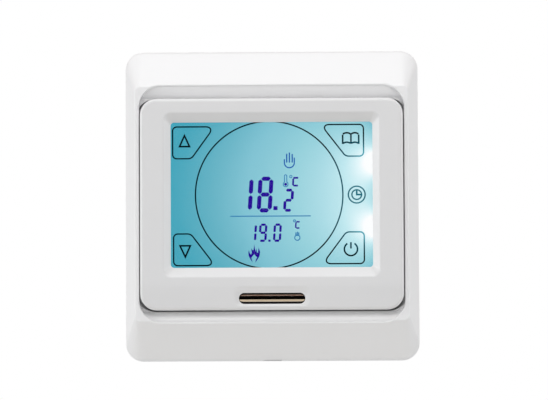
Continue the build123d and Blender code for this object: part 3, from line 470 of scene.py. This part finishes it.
def addBook(sheet, book, line):
    for x in (book["left"], book["spine"], book["right"]):
        dip = 0.0 if x == book["spine"] else book["dip"]
        addBlock(sheet, x - line / 2, book["foot"] - dip, x + line / 2, book["head"] - dip, book["soft"])
    for left, right in ((book["left"], book["spine"]), (book["spine"], book["right"])):
        half = (right - left) / 2
        radius = (half ** 2 + book["bow"] ** 2) / book["bow"] / 2
        swing = degrees(half / radius)
        for level in (book["foot"], book["head"]):
            addArc(sheet, left + half, level + book["bow"] - radius, radius, 90 - swing, 90 + swing, line,
                   book["steps"])


def addClock(sheet, clock, line, bold):
    x, y = clock["x"], clock["y"]
    for radius in (clock["rim"], clock["face"]):
        addDisc(sheet, x, y, radius, line)
    tip = clock["face"] - bold / 2
    addStroke(sheet, (x, y - bold / 2), (x, y + tip), bold)
    addStroke(sheet, (x + bold / 2, y), (x + tip, y), bold)


def addPower(sheet, power, line):
    x, y, radius = power["x"], power["y"], power["radius"]
    addArc(sheet, x, y, radius, power["start"], power["end"], line, power["steps"])
    addStroke(sheet, (x, y + power["stemFoot"]), (x, y + radius + power["stemOver"]), line)


def makeTouchPrint(look):
    sheet = bmesh.new()
    line, bold, dial = look["line"], look["bold"], look["dial"]
    addDisc(sheet, dial["x"], dial["y"], dial["radius"], line, dial["steps"])
    for key in look["keys"]:
        addKey(sheet, look, key)
    for sign in (look["upSign"], look["downSign"]):
        sketch = newShape(sign)
        hollow(sketch, bold)
        keep(sheet, sketch)
    addBook(sheet, look["book"], bold)
    addClock(sheet, look["clock"], line, bold)
    addPower(sheet, look["power"], bold)
    finishSheet(sheet, "screen_print", standAt(look["front"]), look["thick"],
                inkFinish("print_ink_painted_glow", look["ink"], look["paintedGlow"]))


makeTouchPrint(touchPrint)


# what the display shows: two temperatures and the signs beside them

digitBars = {"0": "abcdef", "1": "bc", "2": "abdeg", "8": "abcdefg", "9": "abcdfg"}
readout = dict(  # gap and rest are the spaces at the ends of a digit's level and upright bars
    front=frontOf("lcd_panel"), thick=0.03, slant=0.064, ink=pick(36, 4, 146), pointSoft=0.12,
    digits=(dict(mark="1", left=-9.98, foot=-2.33, wide=4.14, tall=10.42, bar=1.22, gap=0.2, rest=0.16, tip=0.42),
            dict(mark="8", left=-4.46, foot=-2.33, wide=4.4, tall=10.42, bar=1.22, gap=0.2, rest=0.16, tip=0.42),
            dict(mark="2", left=3.24, foot=-2.16, wide=2.86, tall=6.7, bar=0.84, gap=0.12, rest=0.17, tip=0.32),
            dict(mark="1", left=-6.87, foot=-10.9, wide=2.26, tall=5.34, bar=0.68, gap=0.1, rest=0.14, tip=0.32),
            dict(mark="9", left=-3.96, foot=-10.9, wide=2.36, tall=5.34, bar=0.68, gap=0.1, rest=0.14, tip=0.32),
            dict(mark="0", left=0.24, foot=-10.9, wide=2.36, tall=5.34, bar=0.68, gap=0.1, rest=0.14, tip=0.32)),
    points=((0.46, -1.68, 1.68, -0.50), (-1.06, -10.86, -0.40, -10.22)),
    unitSoft=0.14, unitLean=0.1,
    # ring: x, y, radius, line; stem: x, foot, head, width; arms: left, level, right
    units=(dict(ring=(5.58, 8.06, 0.46, 0.24), stem=(5.92, 5.5, 7.5, 0.54),
                arms=((6.3, 7.7, 7.72), (6.28, 5.44, 7.62))),
           dict(ring=(6.58, -4.82, 0.42, 0.24), stem=(6.68, -6.86, -5.24, 0.44),
                arms=((7.12, -5.1, 8.1), (7.06, -6.92, 8.02)))))


# one bar of a digit with short points; tip and soft are shares of its width
def addBar(sheet, start, end, bar, tip, lean, soft=0.06, steps=2):
    a, b = Vector(start), Vector(end)
    ahead = (b - a).normalized()
    side = Vector((-ahead.y, ahead.x)) * bar / 2
    slope = ahead * bar * tip
    sketch = newShape((a, a + slope - side, b - slope - side, b, b - slope + side, a + slope + side))
    roundCorners(sketch, sketch.verts[:], bar * soft, steps)
    bmesh.ops.transform(sketch, matrix=lean, verts=sketch.verts[:])
    keep(sheet, sketch)


def addDigit(sheet, slant, mark, left, foot, wide, tall, bar, gap, rest, tip):
    near, far = left + bar / 2, left + wide - bar / 2
    low, waist, high = foot + bar / 2, foot + tall / 2, foot + tall - bar / 2
    bars = {"a": ((near + gap, high), (far - gap, high)), "d": ((near + gap, low), (far - gap, low)),
            "g": ((near + gap, waist), (far - gap, waist)), "f": ((near, waist + rest), (near, high - rest)),
            "b": ((far, waist + rest), (far, high - rest)), "e": ((near, low + rest), (near, waist - rest)),
            "c": ((far, low + rest), (far, waist - rest))}
    lean = Matrix(((1, slant, 0, -slant * foot), (0, 1, 0, 0), (0, 0, 1, 0), (0, 0, 0, 1)))
    for name in digitBars[mark]:
        addBar(sheet, *bars[name], bar, tip, lean)


def makeReadout(look):
    sheet = bmesh.new()
    for digit in look["digits"]:
        addDigit(sheet, look["slant"], **digit)
    for spot in look["points"]:
        addBlock(sheet, *spot, look["pointSoft"])
    for unit in look["units"]:
        x, foot, head, wide = unit["stem"]
        addBlock(sheet, x, foot, x + wide, head, look["unitSoft"], look["unitLean"])
        for left, level, right in unit["arms"]:
            addBlock(sheet, left, level - wide / 2, right, level + wide / 2, look["unitSoft"])
    finishSheet(sheet, "lcd_digits", standAt(look["front"]), look["thick"],
                inkFinish("digit_bars", look["ink"]))


makeReadout(readout)

paleSigns = dict(
    ink=pick(40, 122, 178), rule=dict(left=-12.07, right=11.3, level=-3.4, line=0.3, soft=0.05), ringSteps=28,
    tube=dict(x=4.06, bulb=5.82, bulbRadius=0.7, bulbStart=125, bulbEnd=415, bulbSteps=28, footRise=0.5,
              head=8.26, radius=0.34, headSteps=12, line=0.26),
    sensor=dict(x=7.38, y=-9.72, radius=0.9, line=0.28, steps=36, sink=0.4, wide=0.34, soft=0.12,
                leads=((-0.42, 0.62), (0.0, 0.86), (0.42, 0.66))))


def addTube(sheet, tube):
    x, line = tube["x"], tube["line"]
    addArc(sheet, x, tube["bulb"], tube["bulbRadius"], tube["bulbStart"], tube["bulbEnd"], line, tube["bulbSteps"])
    addArc(sheet, x, tube["head"], tube["radius"], 0, 180, line, tube["headSteps"])
    for edge in (x - tube["radius"], x + tube["radius"]):
        addStroke(sheet, (edge, tube["bulb"] + tube["footRise"]), (edge, tube["head"]), line)


def addSensor(sheet, sensor):
    x, top = sensor["x"], sensor["y"] + sensor["radius"]
    addDisc(sheet, x, sensor["y"], sensor["radius"], sensor["line"], sensor["steps"])
    half = sensor["wide"] / 2
    for shift, rise in sensor["leads"]:
        addBlock(sheet, x + shift - half, top - sensor["sink"], x + shift + half, top + rise, sensor["soft"])


def makePaleSigns(look, base):  # rule, thermometer, degree rings and floor sensor
    sheet = bmesh.new()
    rule = look["rule"]
    half = rule["line"] / 2
    addBlock(sheet, rule["left"], rule["level"] - half, rule["right"], rule["level"] + half, rule["soft"])
    addTube(sheet, look["tube"])
    for unit in base["units"]:
        addDisc(sheet, *unit["ring"], look["ringSteps"])
    addSensor(sheet, look["sensor"])
    finishSheet(sheet, "lcd_pale_signs", standAt(base["front"]), base["thick"],
                inkFinish("pale_bars", look["ink"]))


makePaleSigns(paleSigns, readout)

hand = dict(
    ink=pick(16, 92, 172), line=0.36, fingerWide=0.38, fingerSoft=0.12,
    fingers=((4.4, 12.15, 14.75), (5.18, 12.15, 15.1), (6.0, 12.15, 14.65)),  # x, foot, head
    palm=dict(x=5.16, y=12.1, radius=1.44, heads=(13.15, 13.6), soft=0.1))


def makeHand(look, base):
    sheet = bmesh.new()
    half = look["fingerWide"] / 2
    for x, foot, head in look["fingers"]:
        addBlock(sheet, x - half, foot, x + half, head, look["fingerSoft"])
    palm, line = look["palm"], look["line"]
    addArc(sheet, palm["x"], palm["y"], palm["radius"], 180, 360, line)
    for side, head in zip((-1, 1), palm["heads"]):
        x = palm["x"] + side * palm["radius"]
        addBlock(sheet, x - line / 2, palm["y"], x + line / 2, head, palm["soft"])
    finishSheet(sheet, "lcd_hand", standAt(base["front"]), base["thick"],
                inkFinish("hand_bars", look["ink"]))


makeHand(hand, readout)

darkSigns = dict(
    drop=0.42, dropSteps=24,
    flame=((-6.72, -13.2), (-6.43, -14.2), (-6.14, -14.5), (-5.86, -14.1), (-6.05, -12.7), (-5.62, -13.3),
           (-5.37, -13.2), (-5.13, -11.6), (-4.95, -12.8), (-4.75, -13.66), (-4.46, -12.7), (-4.41, -13.96),
           (-4.09, -14.06), (-3.84, -12.5), (-3.46, -13.86), (-3.62, -15.0), (-4.21, -16.0), (-4.86, -16.9),
           (-4.72, -16.1), (-4.34, -15.3), (-4.74, -15.0), (-5.14, -14.46), (-5.62, -14.96), (-5.98, -15.5),
           (-5.67, -16.8), (-6.29, -15.96), (-6.77, -15.0), (-6.88, -14.1)))


def makeDarkSigns(look, tube, base):  # the heating flame and the thermometer's drop are as dark as the digits
    sheet = newShape(look["flame"])
    addDisc(sheet, tube["x"], tube["bulb"], look["drop"], steps=look["dropSteps"])
    finishSheet(sheet, "lcd_dark_signs", standAt(base["front"]), base["thick"],
                inkFinish("dark_bars", base["ink"]))


makeDarkSigns(darkSigns, paleSigns["tube"], readout)


# painted shade: a dark liner just inside the plated bar's slot on the sloping lower face, standing for the shadowed
# gap round the bar

trimShadeLiner = dict(length=19.18, height=3.18, wall=0.07, front=15.577, level=-27.4, tilt=6.52, low=-1.4, high=-0.5,
                endShare=0.999, endSteps=14, weld=0.01)


def makeTrimSeat(look):
    length, height = look["length"] / 2, look["height"] / 2
    sheet = newShape(((-length, -height), (length, -height), (length, height), (-length, height)))
    roundCorners(sheet, sheet.verts[:], height * look["endShare"], look["endSteps"])
    bmesh.ops.remove_doubles(sheet, verts=sheet.verts[:], dist=look["weld"])
    hollow(sheet, look["wall"])
    bmesh.ops.translate(sheet, verts=sheet.verts[:], vec=(0, 0, look["low"]))
    # the liner wears the dark foam finish as painted shade in the slot's gap
    finishSheet(sheet, "trim_shade_liner", standAt(look["front"], look["level"], look["tilt"]),
                look["high"] - look["low"], finishes["gasket_foam"])


makeTrimSeat(trimShadeLiner)

numbers = dict(count=6, size=2.66, drop=3.9, thick=0.03, weld=0.0005,
               finish=dict(colour=pick(226, 226, 222), rough=0.5, drift=0.06, grain=5000.0, depth=0.002, gloss=0.3))


def makeTerminalNumbers(look):  # one below each terminal screw, to be read from the wall side
    sheet = bmesh.new()
    for count in range(1, look["count"] + 1):
        low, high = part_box("terminal_screw_%d" % count)
        curve = bpy.data.curves.new("number", "FONT")
        curve.body, curve.size = str(count), look["size"]
        curve.align_x = curve.align_y = "CENTER"
        letter = bpy.data.objects.new("number", curve)
        mesh = bpy.data.meshes.new_from_object(letter)
        x, z = -(low[0] + high[0]) / 2 / mm, (low[2] + high[2]) / 2 / mm
        mesh.transform(Matrix.Translation((x, z - look["drop"], 0)))
        sheet.from_mesh(mesh)
        bpy.data.objects.remove(letter)
        bpy.data.curves.remove(curve)
        bpy.data.meshes.remove(mesh)
    bmesh.ops.remove_doubles(sheet, verts=sheet.verts[:], dist=look["weld"])
    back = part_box("terminal_block")[1][1]
    turn = Matrix(((-1, 0, 0, 0), (0, 0, 1, 0), (0, 1, 0, 0), (0, 0, 0, 1)))
    place = Matrix.Translation((0, back, 0)) @ turn @ Matrix.Scale(mm, 4)
    finishSheet(sheet, "terminal_numbers", place, look["thick"],
                plasticFinish("number_print", **look["finish"]), "base")


makeTerminalNumbers(numbers)


# studio: pale floor below the view, soft lamps, cards that show only in reflections

studio = dict(
    ambient=0.385, floorDrop=0.22, floorSize=(1.6, 1.6), floorAhead=0.15,
    floorPaper=dict(colour=pick(228, 228, 227), rough=0.9, drift=0.01, grain=400.0, depth=0.01, gloss=0.1),
    lamps=(dict(name="topSoftbox", toward=(0, -0.25, 0.97), away=1.2, level=0.39, size=0.9),
           dict(name="frontSoftbox", toward=(0.1, -0.8, 0.6), away=1.3, level=0.26, size=0.6),
           dict(name="leftSoftbox", toward=(-0.95, -0.25, 0.1), away=1.3, level=0.29, size=0.6),
           dict(name="rightSoftbox", toward=(0.95, -0.25, 0.1), away=1.3, level=0.12, size=0.6),
           dict(name="backSoftbox", toward=(0.15, 0.9, 0.35), away=1.3, level=0.2, size=0.9)),
    cards=(dict(name="blackFlag", low=-28, high=27, colour=pick(5, 4, 4)),
           dict(name="brownCard", low=27, high=135, colour=pick(128, 100, 86)),
           dict(name="beigeCard", low=-86, high=-28, colour=pick(216, 200, 178))),
    cardAway=0.17, cardWide=0.5, cardSteps=16, barHeight=trimShadeLiner["level"])


def makeWorld(look):
    world = bpy.data.worlds.new("studioWorld")
    world.use_nodes = True
    tree = world.node_tree
    tree.nodes.clear()
    path = addNode(tree, "LightPath").outputs
    seen = calc(tree, "MAXIMUM", path["Is Camera Ray"],
                calc(tree, "MAXIMUM", path["Is Glossy Ray"], path["Is Transmission Ray"]))
    strength = addNode(tree, "MapRange", {"Value": seen, "To Min": look["ambient"], "To Max": 1.0}).outputs[0]
    sky = addNode(tree, "Background", {"Color": (1, 1, 1, 1), "Strength": strength})
    addNode(tree, "OutputWorld", {"Surface": sky.outputs[0]})
    scene.world = world


def makeLamps(look):
    for lamp in look["lamps"]:
        toward = Vector(lamp["toward"]).normalized()
        data = bpy.data.lights.new(lamp["name"], "AREA")
        data.shape = "DISK"
        data.size = lamp["size"]
        data.energy = lamp["level"] * pi ** 2 * lamp["away"] ** 2
        rig = bpy.data.objects.new(lamp["name"], data)
        rig.location = toward * lamp["away"]
        rig.rotation_mode = "QUATERNION"
        rig.rotation_quaternion = toward.to_track_quat("Z", "Y")
        rig.visible_camera = False
        scene.collection.objects.link(rig)


def makeFloor(look):
    bm = bmesh.new()
    bmesh.ops.create_grid(bm, x_segments=1, y_segments=1, size=0.5)
    bmesh.ops.scale(bm, vec=(*look["floorSize"], 1), verts=bm.verts[:])
    bmesh.ops.translate(bm, vec=(0, -look["floorAhead"], -look["floorDrop"]), verts=bm.verts[:])
    mesh = bpy.data.meshes.new("floor")
    bm.to_mesh(mesh)
    bm.free()
    mesh.materials.append(plasticFinish("floor_paper", **look["floorPaper"]))
    floor = bpy.data.objects.new("floor", mesh)
    scene.collection.objects.link(floor)


def makeCards(look):  # curved strips in front, from side to side, at these heights as the bar sees them
    barZ = look["barHeight"] * mm
    for card in look["cards"]:
        low, high = radians(card["low"]), radians(card["high"])
        bm = bmesh.new()
        ends = [bm.verts.new((x, -cos(low) * look["cardAway"], barZ + sin(low) * look["cardAway"]))
                for x in (-look["cardWide"] / 2, look["cardWide"] / 2)]
        edge = bm.edges.new(ends)
        bmesh.ops.spin(bm, geom=[*ends, edge], cent=(0, 0, barZ), axis=(-1, 0, 0), angle=high - low,
                       steps=look["cardSteps"])
        mesh = bpy.data.meshes.new(card["name"])
        bm.to_mesh(mesh)
        bm.free()
        paint = {"Base Color": (0, 0, 0, 1), "Specular IOR Level": 0.0, "Emission Color": card["colour"],
                 "Emission Strength": 1.0}
        mesh.materials.append(newMaterial(card["name"] + "_paint", paint)[0])
        strip = bpy.data.objects.new(card["name"], mesh)
        for ray in ("camera", "diffuse", "transmission", "volume_scatter", "shadow"):
            setattr(strip, "visible_" + ray, False)
        scene.collection.objects.link(strip)


makeWorld(studio)
makeLamps(studio)
makeFloor(studio)
makeCards(studio)

shot = dict(target=(0.51, 0.0, 1.97), away=782.0, yaw=0.66, pitch=3.27, roll=-0.272, focal=174.0,
            sensor=36.0)


def makeCamera(look):
    yaw, pitch = radians(look["yaw"]), radians(look["pitch"])
    ahead = Vector((-sin(yaw) * cos(pitch), cos(yaw) * cos(pitch), sin(pitch)))
    data = bpy.data.cameras.new("photoCamera")
    data.lens = look["focal"]
    data.sensor_width = look["sensor"]
    camera = bpy.data.objects.new("photoCamera", data)
    camera.location = (Vector(look["target"]) - ahead * look["away"]) * mm
    camera.rotation_mode = "QUATERNION"
    roll = Quaternion((0, 0, 1), radians(look["roll"]))
    camera.rotation_quaternion = ahead.to_track_quat("-Z", "Y") @ roll
    scene.collection.objects.link(camera)
    scene.camera = camera


makeCamera(shot)
scene.view_settings.view_transform = "Standard"
print("studio and camera set")
